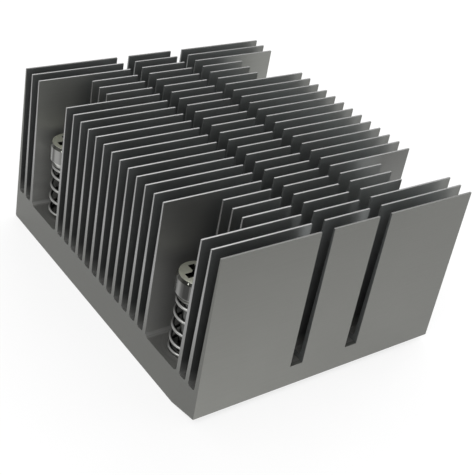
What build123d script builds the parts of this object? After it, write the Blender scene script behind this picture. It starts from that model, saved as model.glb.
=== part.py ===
"""Server heat sink with captive spring screws.

One extruded aluminium body carries tapered straight fins on a thick base, which is bevelled under
its front edge. Two saw cuts cross the fins, and the fins are milled away round each corner screw.
Each screw is held by a retaining ring under the base and pushed up by a compression spring, so it
can be pressed down and turned.

The origin is the centre of the base's underside. X runs along the fins, Y across them, Z up.
All sizes are in millimetres.
"""

from build123d import *
from math import cos, pi, sin
import os

# Extruded profile: base and fins
fin_count = 25
fin_pitch = 4.4
fin_root = 1.5
fin_tip = 0.5
body_height = 53.8
base_thickness = 10.9
root_bevel = 0.5
side_wall = 1.1
side_lean = 1.1
side_fin_tip = 0.55
front_bevel_width = 10.0
front_bevel_height = 2.2
rear_chamfer = 0.3

# Saw cuts on each side of the middle run of the fins
middle_run = 15.9
saw_cut_width = 4.4
saw_cut_depth = 1.7

# Corner pockets, milled where fins make room for a screw
pocket_depth = 0.4
pocket_radius = 1.6
head_side_clearance = 1.0
head_end_clearance = 1.95

# Screw pattern and the stepped holes under it
screw_spacing_x = 72.0
screw_spacing_y = 72.0
screw_to_end = 7.75
screw_travel = 4.0
travel_clearance = 0.2
seat_radius = 5.5
shank_clearance = 0.2

# Shoulder screw
head_radius = 5.9
head_side_height = 5.5
head_bevel_height = 1.0
head_bevel_width = 0.45
head_cone_height = 2.3
head_cone_radius = 4.7
shank_radius = 2.5
thread_radius = 2.0
groove_radius = 1.9
land_below_ring = 0.55
tip_recess = 0.3
cross_length = 8.0
cross_width = 2.0
cross_depth = 3.0

# Retaining ring
ring_thickness = 0.8
ring_radius = 4.6
ring_mouth_width = 3.3
ring_radial_clearance = 0.05
ring_side_clearance = 0.05

# Compression spring
spring_wire = 1.0
spring_outer_radius = 5.1
spring_length = 17.8
spring_turns = 5.25
spring_closed_turns = 0.75
spring_closed_gap = 0.1
spring_blend_turns = 0.25
spring_foot_angle = -40.0
points_per_turn = 12
wire_sides = 6

# Places worked out from the sizes above
body_length = screw_spacing_x + 2 * screw_to_end
fin_span = (fin_count - 1) * fin_pitch
body_width = fin_span + 2 * side_wall
saw_cut_x = (middle_run + saw_cut_width) / 2
pocket_length = screw_to_end + head_radius + head_end_clearance
pocket_floor = base_thickness - pocket_depth
head_bottom = pocket_floor + spring_length
head_side_bottom = head_bottom + head_cone_height
head_top = head_side_bottom + head_side_height
seat_depth = ring_thickness + screw_travel + travel_clearance
ring_top = seat_depth
ring_bottom = ring_top - ring_thickness
land_bottom = ring_bottom - ring_side_clearance - land_below_ring
corners = {
    "front_left": (-screw_spacing_x / 2, -screw_spacing_y / 2),
    "front_right": (screw_spacing_x / 2, -screw_spacing_y / 2),
    "rear_left": (-screw_spacing_x / 2, screw_spacing_y / 2),
    "rear_right": (screw_spacing_x / 2, screw_spacing_y / 2),
}


def fin_line(index):
    """Y of a fin's pitch line."""
    return index * fin_pitch - fin_span / 2


def side_line(height, foot):
    """How far out a side stands at a height: it leans inwards from its foot to the fins' tops."""
    return body_width / 2 - side_lean * (height - foot) / (body_height - foot)


def fin_outline(index):
    """A fin's section: tapered on both faces, but along the body's side on an outer face."""
    y = fin_line(index)
    low, high = y - fin_root / 2, y + fin_root / 2
    tip_low, tip_high = y - fin_tip / 2, y + fin_tip / 2
    if index == 0:
        low = -side_line(base_thickness, front_bevel_height)
        tip_low = -side_line(body_height, front_bevel_height)
        tip_high = tip_low + side_fin_tip
    if index == fin_count - 1:
        high = side_line(base_thickness, rear_chamfer)
        tip_high = side_line(body_height, rear_chamfer)
        tip_low = tip_high - side_fin_tip
    points = [
        (low, base_thickness),
        (high, base_thickness),
        (tip_high, body_height),
        (tip_low, body_height),
    ]
    return make_face(Polyline(*points, close=True))


def base_outline():
    """The base's section: a wide shallow bevel under its front edge, a small chamfer at the rear."""
    points = [
        (-body_width / 2, front_bevel_height),
        (front_bevel_width - body_width / 2, 0),
        (body_width / 2 - rear_chamfer, 0),
        (body_width / 2, rear_chamfer),
        (side_line(base_thickness, rear_chamfer), base_thickness),
        (-side_line(base_thickness, front_bevel_height), base_thickness),
    ]
    return make_face(Polyline(*points, close=True))


def extruded_profile():
    """The extrusion's section in the YZ plane, with a small bevel at every fin's root."""
    section = base_outline() + [fin_outline(index) for index in range(fin_count)]
    inside = fin_span / 2
    roots = [
        vertex
        for vertex in section.vertices()
        if abs(vertex.Y - base_thickness) < 1e-6 and abs(vertex.X) < inside
    ]
    return chamfer(roots, root_bevel)


def saw_cut(side):
    """The cutter's path across all the fins, a little way into the base."""
    height = body_height - base_thickness + saw_cut_depth
    blade = Box(saw_cut_width, 2 * body_width, 2 * height)
    return Pos(side * saw_cut_x, 0, body_height) * blade


def fins_in_the_way(y):
    """Numbers of the fins that would stand too close to a screw head at this Y."""
    reach = head_radius + head_side_clearance + fin_root / 2
    return [index for index in range(fin_count) if abs(fin_line(index) - y) < reach]


def corner_pocket(side_x, y):
    """The milled space round a screw: from the body's end inwards, between the full fins beside it."""
    cut = fins_in_the_way(y)
    low = fin_line(cut[0] - 1) + fin_root / 2
    high = fin_line(cut[-1] + 1) - fin_root / 2
    height = 2 * (body_height - pocket_floor)
    cutter = Box(2 * pocket_length, high - low, height)
    lower_edges = cutter.edges().group_by(Axis.Z)[0]
    cutter = fillet(lower_edges.filter_by(Axis.X), pocket_radius)
    return Pos(side_x * body_length / 2, (low + high) / 2, body_height) * cutter


def stepped_hole(x, y):
    """Clearance for the shank, and the round seat that the retaining ring moves in."""
    shank_hole = Cylinder(shank_radius + shank_clearance, 4 * base_thickness)
    seat = Cylinder(seat_radius, 2 * seat_depth)
    return Pos(x, y, 0) * (shank_hole + seat)


def finned_body():
    body = extrude(Plane.YZ * extruded_profile(), amount=body_length / 2, both=True)
    cutters = [saw_cut(side) for side in (-1, 1)]
    screw_y = screw_spacing_y / 2
    cutters += [corner_pocket(side_x, y) for side_x in (-1, 1) for y in (-screw_y, screw_y)]
    cutters += [stepped_hole(x, y) for x, y in corners.values()]
    return body - cutters


def cross_recess():
    """Two crossed slots, cut down from the top of the head."""
    slot = Box(cross_length, cross_width, 2 * cross_depth)
    return Pos(0, 0, head_top) * (slot + Rot(0, 0, 90) * slot)


def shoulder_screw(x, y):
    """Half section turned about the axis: head, cone, shank, ring groove, land and threaded end."""
    groove_top = ring_top + ring_side_clearance
    groove_bottom = ring_bottom - ring_side_clearance
    outline = [
        (0, tip_recess),
        (thread_radius, tip_recess),
        (thread_radius, land_bottom),
        (shank_radius, land_bottom),
        (shank_radius, groove_bottom),
        (groove_radius, groove_bottom),
        (groove_radius, groove_top),
        (shank_radius, groove_top),
        (shank_radius, head_bottom),
        (head_cone_radius, head_bottom),
        (head_radius, head_side_bottom),
        (head_radius, head_top - head_bevel_height),
        (head_radius - head_bevel_width, head_top),
        (0, head_top),
    ]
    half_section = Plane.XZ * make_face(Polyline(*outline, close=True))
    return Pos(x, y, 0) * (revolve(half_section, Axis.Z) - cross_recess())


def retaining_ring(x, y):
    """A flat open ring, in the screw's groove and up against its seat."""
    bore = Circle(groove_radius + ring_radial_clearance)
    mouth = Pos(ring_radius / 2, 0) * Rectangle(ring_radius, ring_mouth_width)
    flat = Circle(ring_radius) - bore - mouth
    return Pos(x, y, ring_bottom) * extrude(flat, ring_thickness)


def coil_pitch(turn, open_pitch):
    """Rise for each turn: closed at both ends of the spring, open between them."""
    closed_pitch = spring_wire + spring_closed_gap
    from_end = min(turn, spring_turns - turn) - spring_closed_turns
    share = min(max(from_end / spring_blend_turns, 0), 1)
    return closed_pitch + share * (open_pitch - closed_pitch)


def coil_heights(open_pitch):
    """Height of the wire's centre at every point of its path, counted from the first."""
    steps = round(spring_turns * points_per_turn)
    heights = [0.0]
    for step in range(steps):
        turn = (step + 0.5) / points_per_turn
        heights.append(heights[-1] + coil_pitch(turn, open_pitch) / points_per_turn)
    return heights


def foot_angle(y):
    """Where a spring's wire starts: the rear pair stands as the front pair turned half round."""
    return spring_foot_angle + (180 if y > 0 else 0)


def compression_spring(x, y):
    """Round wire wound left-handed from the pocket's floor to the head, with ends ground flat."""
    coil_radius = spring_outer_radius - spring_wire / 2
    end_centre = spring_wire / 4
    rise = spring_length - 2 * end_centre
    flat = coil_heights(0.0)[-1]
    slope = coil_heights(1.0)[-1] - flat
    heights = coil_heights((rise - flat) / slope)
    points = []
    for step, height in enumerate(heights):
        angle = -2 * pi * step / points_per_turn
        points.append(Vector(coil_radius * cos(angle), coil_radius * sin(angle), height + end_centre))
    start = Plane(points[0], x_dir=Vector(1, 0, 0), z_dir=(points[1] - points[0]).normalized())
    wire = start * RegularPolygon(spring_wire / 2, wire_sides)
    wound = sweep(wire, path=Polyline(*points), transition=Transition.RIGHT)
    ground = Pos(0, 0, spring_length / 2) * Cylinder(2 * spring_outer_radius, spring_length)
    return Pos(x, y, pocket_floor) * Rot(0, 0, foot_angle(y)) * (wound & ground)


def write_parts():
    os.makedirs("parts", exist_ok=True)
    export_step(finned_body(), "parts/finned_body.step")
    for corner, (x, y) in corners.items():
        export_step(shoulder_screw(x, y), f"parts/screw_{corner}.step")
        export_step(retaining_ring(x, y), f"parts/retaining_ring_{corner}.step")
        export_step(compression_spring(x, y), f"parts/spring_{corner}.step")


write_parts()
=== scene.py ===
"""Looks of the server heat sink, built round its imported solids. All sizes are in metres."""

from math import cos, pi, radians, sin

import bmesh
import bpy
from mathutils import Matrix, Vector

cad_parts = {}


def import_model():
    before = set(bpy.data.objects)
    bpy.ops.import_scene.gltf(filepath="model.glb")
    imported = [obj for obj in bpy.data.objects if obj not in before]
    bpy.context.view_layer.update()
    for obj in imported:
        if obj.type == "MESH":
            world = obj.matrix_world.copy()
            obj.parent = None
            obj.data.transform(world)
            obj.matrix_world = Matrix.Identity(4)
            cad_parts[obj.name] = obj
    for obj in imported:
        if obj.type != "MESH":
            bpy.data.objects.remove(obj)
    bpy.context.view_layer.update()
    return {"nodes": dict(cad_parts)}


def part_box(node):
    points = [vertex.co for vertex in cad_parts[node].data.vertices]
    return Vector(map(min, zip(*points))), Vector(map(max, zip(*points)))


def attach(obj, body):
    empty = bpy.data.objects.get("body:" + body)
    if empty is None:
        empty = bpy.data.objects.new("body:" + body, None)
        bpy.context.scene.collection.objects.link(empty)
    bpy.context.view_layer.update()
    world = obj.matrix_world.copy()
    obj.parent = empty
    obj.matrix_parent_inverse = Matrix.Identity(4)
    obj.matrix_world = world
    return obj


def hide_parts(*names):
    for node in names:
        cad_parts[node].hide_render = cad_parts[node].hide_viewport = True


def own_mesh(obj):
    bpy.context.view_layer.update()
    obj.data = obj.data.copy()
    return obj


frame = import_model()

MM = 0.001
SQUARE = ((-1, -1), (1, -1), (1, 1), (-1, 1))

# Camera, fitted to the fins' corners in the photograph
CAMERA_PLACE = Vector((-172.7, -201.4, 189.1)) * MM
CAMERA_AZIMUTH = 41.70
CAMERA_DOWN = 33.11
CAMERA_ROLL = 11.59
CAMERA_LENS = 76.5
CAMERA_NEAR = 10.0 * MM
SENSOR_WIDTH = 36.0

# Stage
AMBIENT = 0.95
WHITE = 1.0
FLOOR_REACH = 6.0
FLOOR_WHITE_SHARE = 0.75
PAPER_TONES = (0.93, 0.95)

# Lamps: name, place, aim, size and watts
LAMPS = (
    ("rear_softbox", (0.45, 0.55, 0.62), (0, 0, 0.03), (0.7, 0.5), 2.4),
    ("left_softbox", (-0.6, -0.3, 0.7), (0, 0, 0.02), (0.5, 0.5), 3.2),
    ("front_fill", (-0.35, -0.7, 0.10), (-0.04, -0.05, 0.0), (0.5, 0.16), 1.2),
    ("sparkle", (-0.68, -0.13, 0.18), (-0.036, 0.0, 0.03), (0.045, 0.045), 0.3),
    ("right_fill", (0.7, 0.12, 0.15), (0.04, 0.0, 0.02), (0.3, 0.3), 3.4),
)

# Places read from the solids
BODY_LOW, BODY_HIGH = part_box("finned_body")
SPRING_LOW, SPRING_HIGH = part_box("spring_front_left")
SCREW_LOW, SCREW_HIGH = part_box("screw_front_left")
RING_LOW, RING_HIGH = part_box("retaining_ring_front_left")
CORNERS = ("front_left", "front_right", "rear_left", "rear_right")
SCREW_LINE = abs(SCREW_LOW.y + SCREW_HIGH.y) / 2
SPRING_LENGTH = SPRING_HIGH.z - SPRING_LOW.z

# Parts of the body that its material tells apart
FIN_PITCH = 4.4 * MM
FIN_TIP_BAND = 0.5 * MM
SIDE_WALL = 1.4 * MM
SAW_CUT_REACH = 13.0 * MM
POCKET_FLOOR = SPRING_LOW.z
POCKET_LINE = 8 * FIN_PITCH
POCKET_REACH = 8.8 * MM
POCKET_END = 28.0 * MM
POCKET_FADE = 5.0 * MM
LEVEL_BAND = 0.3 * MM
END_FADE = 20.0 * MM
MOSTLY_FACING = 0.7

# Tool marks: the saw's centre, and how many marks there are to the metre
SAW_BELOW = 160.0 * MM
SAW_ASIDE = 30.0 * MM
SAW_MARKS = 2600.0
MILL_MARKS = 3600.0

# Leans of the greys towards yellow and green
SIDE_LEAN = (0.04, 0.01)
WALL_LEAN = (-0.03, 0.05)
HEAD_LEAN = (0.10, 0.01)

# Noise of the steel: waves to the metre along each axis, detail and roughness
STEEL_STAIN = ((420, 420, 420), 4.0, 0.6)
STEEL_PITS = ((5200, 5200, 5200), 2.0, 0.5)

# Spring wire, wound left-handed
WIRE_RADIUS = 0.5 * MM
COIL_RADIUS = 4.6 * MM
SPRING_TURNS = 5.25
FOOT_ANGLE = radians(-40)
CLOSED_TURNS = 0.75
CLOSED_PITCH = 1.1 * MM
BLEND_TURNS = 0.25
STEPS_PER_TURN = 40
WIRE_SIDES = 20
WIRE_SHARP_ANGLE = 40

# Shoulder screw
THREAD_RADIUS = 2.0 * MM
THREAD_DEPTH = 0.38 * MM
THREAD_PITCH = 0.7 * MM
THREAD_FLAT = 0.12
THREAD_CHAMFER = 0.45 * MM
THREAD_STEPS = 12
PLAIN_END = 0.3 * MM
LAND_HEIGHT = 0.55 * MM
GROOVE_RADIUS = 1.9 * MM
GROOVE_CLEARANCE = 0.05 * MM
SHANK_RADIUS = 2.5 * MM
CONE_RADIUS = 4.7 * MM
CONE_HEIGHT = 2.3 * MM
HEAD_RADIUS = (SCREW_HIGH.x - SCREW_LOW.x) / 2
HEAD_BEVEL_WIDTH = 0.45 * MM
HEAD_BEVEL_HEIGHT = 1.0 * MM
ROUNDING = 0.15 * MM
SCREW_SIDES = 96
SCREW_SHARP_ANGLE = 35

# Cross recess in the head
CROSS_TOP = (8.0 * MM, 2.0 * MM)
CROSS_BOTTOM = (4.6 * MM, 1.3 * MM)
CROSS_DEPTH = 3.0 * MM
CORE_RADIUS = 1.9 * MM
CORE_TAPER = 0.7
CORE_BELOW = 0.3 * MM
CORE_SIDES = 32
CUT_ABOVE = 0.2 * MM


# Mesh helpers

def mesh_object(name, bm, smooth=True):
    """Turns a bmesh into a linked object that sits at the origin."""
    mesh = bpy.data.meshes.new(name)
    bm.to_mesh(mesh)
    bm.free()
    for polygon in mesh.polygons:
        polygon.use_smooth = smooth
    piece = bpy.data.objects.new(name, mesh)
    bpy.context.scene.collection.objects.link(piece)
    return piece


def sharpen(piece, angle):
    """Keeps edges sharper than the angle crisp in a smooth piece."""
    piece.data.set_sharp_from_angle(angle=radians(angle))


def rounded(outline, radius, steps=4, most=0.45):
    """The outline with rounded corners, except its ends. An arc takes at most a share of each side."""
    points = [Vector(outline[0])]
    for before, corner, after in zip(outline, outline[1:], outline[2:]):
        corner = Vector(corner)
        back = Vector(before) - corner
        ahead = Vector(after) - corner
        cut = min(radius, back.length * most, ahead.length * most)
        start = corner + back.normalized() * cut
        end = corner + ahead.normalized() * cut
        for step in range(steps + 1):
            t = step / steps
            points.append(start * (1 - t) ** 2 + corner * (2 * t * (1 - t)) + end * t ** 2)
    points.append(Vector(outline[-1]))
    return points


def turned(name, rows, centre, sides):
    """A closed turned solid. Each row is (height, radius at an angle), and the end rows have none."""
    bm = bmesh.new()
    rings = []
    for height, radius_at in rows:
        if radius_at is None:
            rings.append([bm.verts.new(centre + Vector((0, 0, height)))] * sides)
            continue
        ring = []
        for side in range(sides):
            angle = 2 * pi * side / sides
            radius = radius_at(angle)
            point = Vector((radius * cos(angle), radius * sin(angle), height))
            ring.append(bm.verts.new(centre + point))
        rings.append(ring)
    for low, high in zip(rings, rings[1:]):
        for side in range(sides):
            after = (side + 1) % sides
            loop = [low[side], low[after], high[after], high[side]]
            bm.faces.new(list(dict.fromkeys(loop)))
    bmesh.ops.recalc_face_normals(bm, faces=bm.faces)
    return mesh_object(name, bm)


def tapered_bar(name, centre, top, top_size, bottom, bottom_size, turn):
    """A bar with a larger top than bottom, turned about the vertical."""
    bm = bmesh.new()
    layers = []
    for height, (length, width) in ((bottom, bottom_size), (top, top_size)):
        layer = []
        for x, y in SQUARE:
            corner = Vector((x * length / 2, y * width / 2, 0))
            corner.rotate(Matrix.Rotation(turn, 3, "Z"))
            layer.append(bm.verts.new(centre + corner + Vector((0, 0, height))))
        layers.append(layer)
    low, high = layers
    bm.faces.new(low[::-1])
    bm.faces.new(high)
    for side in range(4):
        after = (side + 1) % 4
        bm.faces.new((low[side], low[after], high[after], high[side]))
    bmesh.ops.recalc_face_normals(bm, faces=bm.faces)
    return mesh_object(name, bm, smooth=False)


def carve(piece, cutters):
    """Cuts the cutters out of the piece and removes them."""
    for cutter in cutters:
        cut = piece.modifiers.new("cut", "BOOLEAN")
        cut.operation = "DIFFERENCE"
        cut.solver = "EXACT"
        cut.object = cutter
    graph = bpy.context.evaluated_depsgraph_get()
    carved = bpy.data.meshes.new_from_object(piece.evaluated_get(graph))
    plain = piece.data
    piece.modifiers.clear()
    piece.data = carved
    carved.name = plain.name
    bpy.data.meshes.remove(plain)
    for cutter in cutters:
        bpy.data.meshes.remove(cutter.data)


# Materials

class Nodes:
    """Short calls that add and join shader nodes."""

    def __init__(self, name):
        self.material = bpy.data.materials.new(name)
        self.material.use_nodes = True
        self.tree = self.material.node_tree
        self.tree.nodes.clear()
        coordinates = self.add("ShaderNodeTexCoord")
        self.object = coordinates.outputs["Object"]
        self.normal = coordinates.outputs["Normal"]

    def feed(self, socket, value):
        if isinstance(value, bpy.types.NodeSocket):
            self.tree.links.new(value, socket)
        else:
            socket.default_value = value

    def add(self, kind, settings=None, **inputs):
        node = self.tree.nodes.new(kind)
        for key, value in (settings or {}).items():
            setattr(node, key, value)
        for key, value in inputs.items():
            self.feed(node.inputs[key.replace("_", " ")], value)
        return node

    def axes(self, vector):
        """X, Y and Z of a vector."""
        return tuple(self.add("ShaderNodeSeparateXYZ", Vector=vector).outputs)

    def math(self, operation, a, b=0.0):
        node = self.add("ShaderNodeMath", {"operation": operation})
        self.feed(node.inputs[0], a)
        self.feed(node.inputs[1], b)
        return node.outputs[0]

    def both(self, a, b):
        return self.math("MULTIPLY", a, b)

    def over(self, a, b):
        return self.math("GREATER_THAN", a, b)

    def under(self, a, b):
        return self.math("LESS_THAN", a, b)

    def size(self, a):
        return self.math("ABSOLUTE", a)

    def square(self, a):
        return self.math("POWER", a, 2.0)

    def mix(self, share, a, b):
        """A colour between a and b."""
        node = self.add("ShaderNodeMix", {"data_type": "RGBA"})
        self.feed(node.inputs[0], share)
        self.feed(node.inputs[6], a)
        self.feed(node.inputs[7], b)
        return node.outputs[2]

    def greys(self, share, low, high, warm=0.0, green=0.0):
        """A colour between two greys that lean the same way."""
        return self.mix(share, metal_tone(low, warm, green), metal_tone(high, warm, green))

    def blend(self, share, a, b):
        """A number between a and b."""
        node = self.add("ShaderNodeMix")
        self.feed(node.inputs[0], share)
        self.feed(node.inputs[2], a)
        self.feed(node.inputs[3], b)
        return node.outputs[0]

    def spread(self, value, low, high):
        """How far the value is from low to high, as 0 to 1."""
        node = self.add("ShaderNodeMapRange", From_Min=low, From_Max=high, Value=value)
        return node.outputs["Result"]

    def noise(self, stretch, detail=3.0, roughness=0.5):
        """Noise with a number of waves to the metre along each axis."""
        mapping = self.add("ShaderNodeMapping", Vector=self.object, Scale=stretch)
        node = self.add(
            "ShaderNodeTexNoise",
            Vector=mapping.outputs["Vector"],
            Scale=1.0,
            Detail=detail,
            Roughness=roughness,
        )
        return node.outputs["Fac"]

    def marks(self, distance, waves):
        """Uneven lines at right angles to the way in which a distance grows."""
        node = self.add(
            "ShaderNodeTexNoise",
            {"noise_dimensions": "1D"},
            W=self.math("MULTIPLY", distance, waves),
            Scale=1.0,
            Detail=2.0,
        )
        return node.outputs["Fac"]

    def metal(self, colour, metallic, rough, relief, strength, depth):
        """Finishes a metal material with fine relief."""
        bump = self.add("ShaderNodeBump", Strength=strength, Distance=depth, Height=relief)
        shader = self.add(
            "ShaderNodeBsdfPrincipled",
            Base_Color=colour,
            Metallic=metallic,
            Roughness=rough,
            Normal=bump.outputs["Normal"],
        )
        return self.finish(shader.outputs["BSDF"])

    def finish(self, shader):
        output = self.add("ShaderNodeOutputMaterial")
        self.tree.links.new(shader, output.inputs["Surface"])
        return self.material


def metal_tone(level, warm=0.0, green=0.0):
    """A grey that leans to yellow by warm and to green by green."""
    return (level * (1 + warm / 2), level * (1 + warm / 2 + green), level * (1 - warm), 1.0)


def aluminium():
    """Extruded aluminium: lines drawn along the fins, sawn ends, milled pockets, a ground underside, and
    painted light and shade on the sides, walls, pockets, fin ends and fin tips.
    """
    n = Nodes("extruded_aluminium")
    facing_x, _, facing_z = n.axes(n.normal)
    x, y, z = n.axes(n.object)
    out_x = n.size(x)
    out_y = n.size(y)

    # Places, as shares of the body's length, depth and height, which set where the painted light and shade
    # fall
    length = n.spread(x, BODY_LOW.x, BODY_HIGH.x)
    depth = n.spread(y, BODY_LOW.y, BODY_HIGH.y)
    height = n.spread(z, 0.0, BODY_HIGH.z)
    far_length = n.spread(length, 0.6, 1.0)
    left_end = n.spread(length, 0.25, 0.0)
    right_end = n.spread(length, 0.88, 1.0)
    up_from_foot = n.spread(z, POCKET_FLOOR, POCKET_FLOOR + POCKET_FADE)
    up_the_end = n.spread(z, POCKET_FLOOR, POCKET_FLOOR + END_FADE)

    # Masks of the surfaces
    facing_end = n.over(n.size(facing_x), MOSTLY_FACING)
    facing_up = n.over(facing_z, MOSTLY_FACING)
    facing_down = n.under(facing_z, -MOSTLY_FACING)
    fin_tip = n.both(facing_up, n.over(z, BODY_HIGH.z - FIN_TIP_BAND))
    outer_tip = n.both(fin_tip, n.over(out_y, BODY_HIGH.y - FIN_PITCH / 2))
    inner_fin = n.under(out_y, BODY_HIGH.y - FIN_PITCH / 2)
    # The inner fins' ends, which get painted light, fading in upwards from the pocket floor.
    fin_end = n.both(n.both(facing_end, inner_fin), up_the_end)
    saw_cut = n.both(facing_end, n.under(out_x, SAW_CUT_REACH))
    between_fins = n.under(out_y, BODY_HIGH.y - SIDE_WALL)
    from_pocket = n.size(n.math("SUBTRACT", out_y, POCKET_LINE))
    beside_pocket = n.under(from_pocket, POCKET_REACH)
    pocket_length = n.spread(out_x, POCKET_END - POCKET_FADE, POCKET_END + POCKET_FADE)
    in_pocket = n.both(beside_pocket, pocket_length)
    milled_level = n.both(facing_up, n.under(z, POCKET_FLOOR + LEVEL_BAND))
    pocket_floor = n.both(n.both(milled_level, beside_pocket), n.over(out_x, POCKET_END))

    # The saw's marks are arcs about a centre far below the base
    saw_z = n.square(n.math("ADD", z, SAW_BELOW))
    saw_y = n.square(n.math("ADD", y, SAW_ASIDE))
    sawn = n.marks(n.math("SQRT", n.math("ADD", saw_y, saw_z)), SAW_MARKS)
    # The mill's marks are arcs about as wide as the pocket
    from_screw = n.square(n.math("SUBTRACT", out_y, SCREW_LINE))
    swirl = n.math("SQRT", n.math("SUBTRACT", POCKET_REACH ** 2, from_screw))
    milled = n.marks(n.math("ADD", x, swirl), MILL_MARKS)
    drawn = n.noise((40, 9000, 9000), 4.0, 0.6)
    fine_drawn = n.noise((15, 2200, 2200), 2.0, 0.5)
    ground = n.noise((70, 4200, 4200), 3.0, 0.6)
    cloud = n.noise((60, 60, 60), 4.0, 0.55)
    speck = n.noise((1900, 1900, 1900), 2.0, 0.5)

    texture = n.blend(facing_end, drawn, sawn)
    texture = n.blend(pocket_floor, texture, milled)
    texture = n.blend(facing_down, texture, ground)

    # Painted light on the side face: lighter towards the bottom, most at the left end.
    side_low = n.greys(drawn, 0.22, 0.28, *SIDE_LEAN)
    side_far = n.greys(drawn, 0.155, 0.195, *SIDE_LEAN)
    side_high = n.greys(drawn, 0.14, 0.18, *SIDE_LEAN)
    side_painted_light = n.mix(height, n.mix(length, side_low, side_far), side_high)

    # Painted light and shade on the walls between the fins: a light band at their foot, dark low down, and
    # higher up lightest over the far part of the length, darker at the left and right ends.
    wall_foot = n.greys(drawn, 0.28, 0.36, 0.02)
    wall_low = n.greys(drawn, 0.05, 0.07, *WALL_LEAN)
    wall_left = n.greys(drawn, 0.14, 0.18, *WALL_LEAN)
    wall_middle = n.greys(drawn, 0.20, 0.25, *WALL_LEAN)
    wall_far = n.greys(drawn, 0.33, 0.39, *WALL_LEAN)
    wall_high = n.mix(left_end, n.mix(far_length, wall_middle, wall_far), wall_left)
    wall_high = n.mix(right_end, wall_high, side_far)
    wall_painted_light_and_shade = n.mix(up_from_foot, wall_foot, n.mix(height, wall_low, wall_high))

    # Painted light and shade in the pockets: light at the bottom, and higher up dark in the front pockets
    # and lighter in the rear ones.
    pocket_low = n.greys(drawn, 0.36, 0.46, 0.02)
    pocket_front = n.greys(drawn, 0.09, 0.12, 0.02)
    pocket_rear = n.greys(drawn, 0.24, 0.30, 0.03, 0.02)
    pocket_painted_light_and_shade = n.mix(height, pocket_low, n.mix(depth, pocket_front, pocket_rear))

    sawn_colour = n.greys(sawn, 0.11, 0.15, 0.04, 0.015)
    # Painted light: the inner fins' sawn ends are lighter than the base's sawn end.
    fin_end_painted_light = n.greys(sawn, 0.24, 0.38)
    cut_colour = n.greys(sawn, 0.17, 0.22, *WALL_LEAN)
    milled_colour = n.greys(milled, 0.20, 0.30, 0.03)
    # Painted highlight on the fin tips, stronger towards the left end; the outer fins' tips are painted
    # darker, without it.
    near_tip = n.greys(fine_drawn, 0.23, 0.37)
    far_tip = n.greys(fine_drawn, 0.13, 0.23)
    tip_painted_highlight = n.mix(length, near_tip, far_tip)
    outer_colour = n.greys(fine_drawn, 0.08, 0.13, 0.02)

    colour = n.mix(between_fins, side_painted_light, wall_painted_light_and_shade)
    colour = n.mix(in_pocket, colour, pocket_painted_light_and_shade)
    colour = n.mix(facing_end, colour, sawn_colour)
    colour = n.mix(fin_end, colour, fin_end_painted_light)
    colour = n.mix(saw_cut, colour, cut_colour)
    colour = n.mix(pocket_floor, colour, milled_colour)
    colour = n.mix(facing_down, colour, milled_colour)
    colour = n.mix(fin_tip, colour, tip_painted_highlight)
    colour = n.mix(outer_tip, colour, outer_colour)
    colour = n.mix(n.math("MULTIPLY", cloud, 0.25), colour, metal_tone(0.13, 0.04))

    specks = n.math("MULTIPLY", n.math("SUBTRACT", speck, 0.5), 0.1)
    rough = n.math("ADD", n.blend(texture, 0.34, 0.46), specks)
    return n.metal(colour, 0.78, rough, texture, strength=0.18, depth=0.05 * MM)


def steel(n, colour, rough, streaks):
    """Finishes a steel material, with its streaks and faint pits as relief."""
    relief = n.math("ADD", n.noise(*STEEL_PITS), streaks)
    return n.metal(colour, 1.0, rough, relief, strength=0.10, depth=0.03 * MM)


def nickel_plate():
    """The screws: a pale faced top, and painted reflections and shade: upright streaks round the head, a
    dark bevel, a light cone, a dark shank.
    """
    n = Nodes("nickel_steel")
    facing = n.axes(n.normal)[2]
    height = n.axes(n.object)[2]
    faced = n.over(facing, 0.95)
    bevelled = n.both(n.over(facing, 0.25), n.under(facing, 0.7))
    coned = n.both(n.under(facing, -0.2), n.over(height, SPRING_HIGH.z + 0.1 * MM))
    below_head = n.under(height, SPRING_HIGH.z)

    lathe = n.noise((900, 900, 9000), 3.0, 0.6)
    # Painted reflections: upright light and dark streaks round the head, also on its cone and bevel.
    painted_reflection_streaks = n.spread(n.noise((430, 430, 6), 2.0, 0.5), 0.35, 0.65)
    stain = n.noise(*STEEL_STAIN)
    colour = n.greys(painted_reflection_streaks, 0.05, 0.28, 0.02)
    # Painted reflection: the cone under the head is lighter than the head's side.
    colour = n.mix(coned, colour, n.greys(painted_reflection_streaks, 0.20, 0.50, 0.03))
    # Painted dark reflection on the bevel band round the top.
    colour = n.mix(bevelled, colour, n.greys(painted_reflection_streaks, 0.03, 0.08, 0.06, 0.01))
    colour = n.mix(faced, colour, n.greys(stain, 0.72, 0.88, *HEAD_LEAN))
    # Painted shade: the shank is dark below the head, inside the spring.
    colour = n.mix(below_head, colour, n.greys(stain, 0.06, 0.10, 0.02))
    rough = n.blend(lathe, 0.10, 0.20)
    rough = n.math("ADD", rough, n.math("MULTIPLY", faced, 0.25))
    rough = n.math("SUBTRACT", rough, n.math("MULTIPLY", bevelled, 0.08))
    return steel(n, colour, rough, lathe)


def drawn_wire():
    """The springs: wire with fine upright streaks, with painted shade on the inside of the coil."""
    n = Nodes("spring_steel")
    # How far the wire faces out from the screw's axis: the side facing into the coil gets painted shade.
    outward = []
    for place, facing in zip(n.axes(n.object)[:2], n.axes(n.normal)[:2]):
        screw = n.math("MULTIPLY", n.math("SIGN", place), SCREW_LINE)
        outward.append(n.math("MULTIPLY", n.math("SUBTRACT", place, screw), facing))
    outside = n.spread(n.math("ADD", *outward), -0.4 * COIL_RADIUS, 0.2 * COIL_RADIUS)

    lines = n.noise((3000, 3000, 300), 3.0, 0.6)
    colour = n.greys(n.noise(*STEEL_STAIN), 0.24, 0.34, 0.02)
    colour = n.mix(outside, metal_tone(0.04, 0.02), colour)
    return steel(n, colour, n.blend(lines, 0.32, 0.46), lines)


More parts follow.
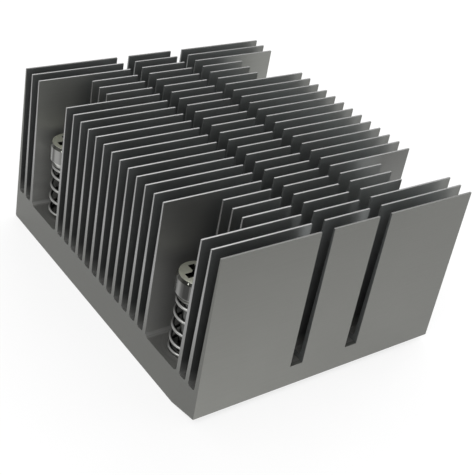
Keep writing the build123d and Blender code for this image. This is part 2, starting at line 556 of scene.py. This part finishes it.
def stamped_steel():
    """The retaining rings: plain stamped steel, with the lines that it was rolled with."""
    n = Nodes("ring_steel")
    rolled = n.noise((800, 5000, 800), 3.0, 0.6)
    colour = n.greys(n.noise(*STEEL_STAIN), 0.24, 0.34, 0.02)
    return steel(n, colour, n.blend(rolled, 0.25, 0.40), rolled)


def dress(piece, material):
    piece.data.materials.clear()
    piece.data.materials.append(material)


# Springs

def coil_pitch(turn, open_pitch):
    """Rise for each turn: closed at both ends of the spring, open between them."""
    from_end = min(turn, SPRING_TURNS - turn) - CLOSED_TURNS
    share = min(max(from_end / BLEND_TURNS, 0), 1)
    return CLOSED_PITCH + share * (open_pitch - CLOSED_PITCH)


def coil_heights(open_pitch):
    """Height of the wire's centre at every step, counted from the first."""
    heights = [0.0]
    for step in range(round(SPRING_TURNS * STEPS_PER_TURN)):
        turn = (step + 0.5) / STEPS_PER_TURN
        heights.append(heights[-1] + coil_pitch(turn, open_pitch) / STEPS_PER_TURN)
    return heights


def wound_spring(name, centre):
    """A round wire wound up from the pocket's floor to the head, with both ends ground flat.

    The rear pair of springs stands as the front pair turned half round.
    """
    foot = FOOT_ANGLE + (pi if centre.y > 0 else 0)
    rise = SPRING_LENGTH - WIRE_RADIUS
    flat = coil_heights(0.0)[-1]
    slope = coil_heights(1.0)[-1] - flat
    heights = coil_heights((rise - flat) / slope)
    first = SPRING_LOW.z + WIRE_RADIUS / 2
    bm = bmesh.new()
    rings = []
    for step, height in enumerate(heights):
        angle = foot - 2 * pi * step / STEPS_PER_TURN
        out = Vector((cos(angle), sin(angle), 0))
        middle = centre + out * COIL_RADIUS + Vector((0, 0, first + height))
        ring = []
        for side in range(WIRE_SIDES):
            turn = 2 * pi * side / WIRE_SIDES
            point = middle + out * (WIRE_RADIUS * cos(turn)) + Vector((0, 0, WIRE_RADIUS * sin(turn)))
            point.z = min(max(point.z, SPRING_LOW.z), SPRING_HIGH.z)
            ring.append(bm.verts.new(point))
        rings.append(ring)
    for low, high in zip(rings, rings[1:]):
        for side in range(WIRE_SIDES):
            after = (side + 1) % WIRE_SIDES
            bm.faces.new((low[side], low[after], high[after], high[side]))
    bm.faces.new(rings[0][::-1])
    bm.faces.new(rings[-1])
    bmesh.ops.recalc_face_normals(bm, faces=bm.faces)
    spring = mesh_object(name, bm)
    sharpen(spring, WIRE_SHARP_ANGLE)
    return spring


# Screws

def screw_heights():
    """Heights that the turned outline steps at, from the tip up."""
    groove_low = RING_LOW.z - GROOVE_CLEARANCE
    return {
        "tip": SCREW_LOW.z,
        "land": groove_low - LAND_HEIGHT,
        "groove_low": groove_low,
        "groove_high": RING_HIGH.z + GROOVE_CLEARANCE,
        "head": SPRING_HIGH.z,
        "top": SCREW_HIGH.z,
    }


def thread_radius(height, angle, low, high):
    """Radius of the thread at a height and an angle about the axis."""
    phase = (height / THREAD_PITCH - angle / (2 * pi)) % 1.0
    from_crest = abs(phase - 0.5) * 2
    flank = (from_crest - THREAD_FLAT) / (1 - 2 * THREAD_FLAT)
    depth = min(max(flank, 0), 1) * THREAD_DEPTH
    run_in = min(max((height - low) / THREAD_PITCH, 0), 1)
    run_out = min(max((high - height) / THREAD_PITCH, 0), 1)
    return THREAD_RADIUS - depth * min(run_in, run_out)


def thread_rows(low, high):
    """Rows of the thread between two heights."""
    steps = round((high - low) / THREAD_PITCH * THREAD_STEPS)
    heights = [low + (high - low) * step / steps for step in range(steps)]
    return [(z, lambda angle, z=z: thread_radius(z, angle, low, high)) for z in heights]


def cross_cutters(centre, top):
    """Two crossed tapering bars and a tapering core, which cut the recess."""
    above = top + CUT_ABOVE
    floor_z = top - CROSS_DEPTH
    core_z = floor_z - CORE_BELOW
    cutters = [
        tapered_bar("cutter", centre, above, CROSS_TOP, floor_z, CROSS_BOTTOM, turn)
        for turn in (0.0, pi / 2)
    ]
    core = [
        (core_z, None),
        (core_z, lambda angle: CORE_RADIUS * CORE_TAPER),
        (above, lambda angle: CORE_RADIUS),
        (above, None),
    ]
    cutters.append(turned("cutter", core, centre, CORE_SIDES))
    return cutters


def shoulder_screw(name, centre):
    """Turned screw with a wound thread, a grooved shank, and a cross recess in its bevelled head."""
    at = screw_heights()
    thread_low = at["tip"] + THREAD_CHAMFER
    thread_high = at["land"] - PLAIN_END
    upper = [
        (THREAD_RADIUS, thread_high),
        (THREAD_RADIUS, at["land"]),
        (SHANK_RADIUS, at["land"]),
        (SHANK_RADIUS, at["groove_low"]),
        (GROOVE_RADIUS, at["groove_low"]),
        (GROOVE_RADIUS, at["groove_high"]),
        (SHANK_RADIUS, at["groove_high"]),
        (SHANK_RADIUS, at["head"]),
        (CONE_RADIUS, at["head"]),
        (HEAD_RADIUS, at["head"] + CONE_HEIGHT),
        (HEAD_RADIUS, at["top"] - HEAD_BEVEL_HEIGHT),
        (HEAD_RADIUS - HEAD_BEVEL_WIDTH, at["top"]),
        (HEAD_RADIUS - 2 * HEAD_BEVEL_WIDTH, at["top"]),
    ]
    rows = [(at["tip"], None), (at["tip"], lambda angle: THREAD_RADIUS - THREAD_CHAMFER)]
    rows += thread_rows(thread_low, thread_high)
    for radius, height in rounded(upper, ROUNDING):
        rows.append((height, lambda angle, radius=radius: radius))
    rows.append((at["top"], None))
    screw = turned(name, rows, centre, SCREW_SIDES)
    carve(screw, cross_cutters(centre, at["top"]))
    sharpen(screw, SCREW_SHARP_ANGLE)
    return screw


# Stage

def seen_share(tree, unseen, seen):
    """One number for what the camera sees, also in reflections and through glass, and one for the rest."""
    ray = tree.nodes.new("ShaderNodeLightPath")
    is_seen = ray.outputs["Is Camera Ray"]
    for kind in ("Is Glossy Ray", "Is Transmission Ray"):
        either = tree.nodes.new("ShaderNodeMath")
        either.operation = "MAXIMUM"
        tree.links.new(is_seen, either.inputs[0])
        tree.links.new(ray.outputs[kind], either.inputs[1])
        is_seen = either.outputs[0]
    share = tree.nodes.new("ShaderNodeMapRange")
    share.inputs["To Min"].default_value = unseen
    share.inputs["To Max"].default_value = seen
    tree.links.new(is_seen, share.inputs["Value"])
    return share.outputs["Result"]


def world():
    """Soft even light, and white behind the object for the camera and in its reflections."""
    sky = bpy.data.worlds.new("studio")
    bpy.context.scene.world = sky
    sky.use_nodes = True
    tree = sky.node_tree
    tree.nodes.clear()
    strength = seen_share(tree, AMBIENT, WHITE)
    background = tree.nodes.new("ShaderNodeBackground")
    tree.links.new(strength, background.inputs["Strength"])
    output = tree.nodes.new("ShaderNodeOutputWorld")
    tree.links.new(background.outputs["Background"], output.inputs["Surface"])


def floor():
    """White paper that keeps a soft shadow. Only the camera and reflections see its plain white."""
    n = Nodes("white_floor")
    mottle = n.noise((9, 9, 9), 3.0, 0.5)
    paper = n.add("ShaderNodeBsdfDiffuse", Color=n.greys(mottle, *PAPER_TONES))
    glow = n.add("ShaderNodeEmission", Strength=WHITE)
    shader = n.add("ShaderNodeMixShader", Fac=seen_share(n.tree, 0.0, FLOOR_WHITE_SHARE))
    n.feed(shader.inputs[1], paper.outputs["BSDF"])
    n.feed(shader.inputs[2], glow.outputs["Emission"])
    bm = bmesh.new()
    bm.faces.new([bm.verts.new((x * FLOOR_REACH, y * FLOOR_REACH, 0)) for x, y in SQUARE])
    plane = mesh_object("floor", bm, smooth=False)
    dress(plane, n.finish(shader.outputs["Shader"]))


def lamp(name, place, aim, size, power):
    data = bpy.data.lights.new(name, "AREA")
    data.shape = "RECTANGLE"
    data.size, data.size_y = size
    data.energy = power
    light = bpy.data.objects.new(name, data)
    light.location = place
    light.rotation_euler = (Vector(aim) - Vector(place)).to_track_quat("-Z", "Y").to_euler()
    bpy.context.scene.collection.objects.link(light)


def camera():
    data = bpy.data.cameras.new("camera")
    data.lens = CAMERA_LENS
    data.sensor_width = SENSOR_WIDTH
    data.clip_start = CAMERA_NEAR
    view = bpy.data.objects.new("camera", data)
    turn = Matrix.Rotation(radians(-CAMERA_AZIMUTH), 4, "Z")
    tilt = Matrix.Rotation(radians(90 - CAMERA_DOWN), 4, "X")
    roll = Matrix.Rotation(radians(CAMERA_ROLL), 4, "Z")
    view.matrix_world = Matrix.Translation(CAMERA_PLACE) @ turn @ tilt @ roll
    bpy.context.scene.collection.objects.link(view)
    bpy.context.scene.camera = view


def dress_corner(corner, screw_metal, spring_metal, ring_metal):
    """Puts the fine screw and spring in the place of a corner's plain solids."""
    low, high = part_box(f"screw_{corner}")
    centre = Vector(((low.x + high.x) / 2, (low.y + high.y) / 2, 0))
    dress(frame["nodes"][f"retaining_ring_{corner}"], ring_metal)

    spring = wound_spring(f"wound_spring_{corner}", centre)
    dress(spring, spring_metal)
    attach(spring, "heat_sink")
    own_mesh(spring)
    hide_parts(f"spring_{corner}")

    screw = shoulder_screw(f"shoulder_screw_{corner}", centre)
    dress(screw, screw_metal)
    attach(screw, f"screw_{corner}")
    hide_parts(f"screw_{corner}")


dress(frame["nodes"]["finned_body"], aluminium())
metals = (nickel_plate(), drawn_wire(), stamped_steel())
for corner in CORNERS:
    dress_corner(corner, *metals)

world()
floor()
for settings in LAMPS:
    lamp(*settings)
camera()
bpy.context.scene.view_settings.view_transform = "Standard"
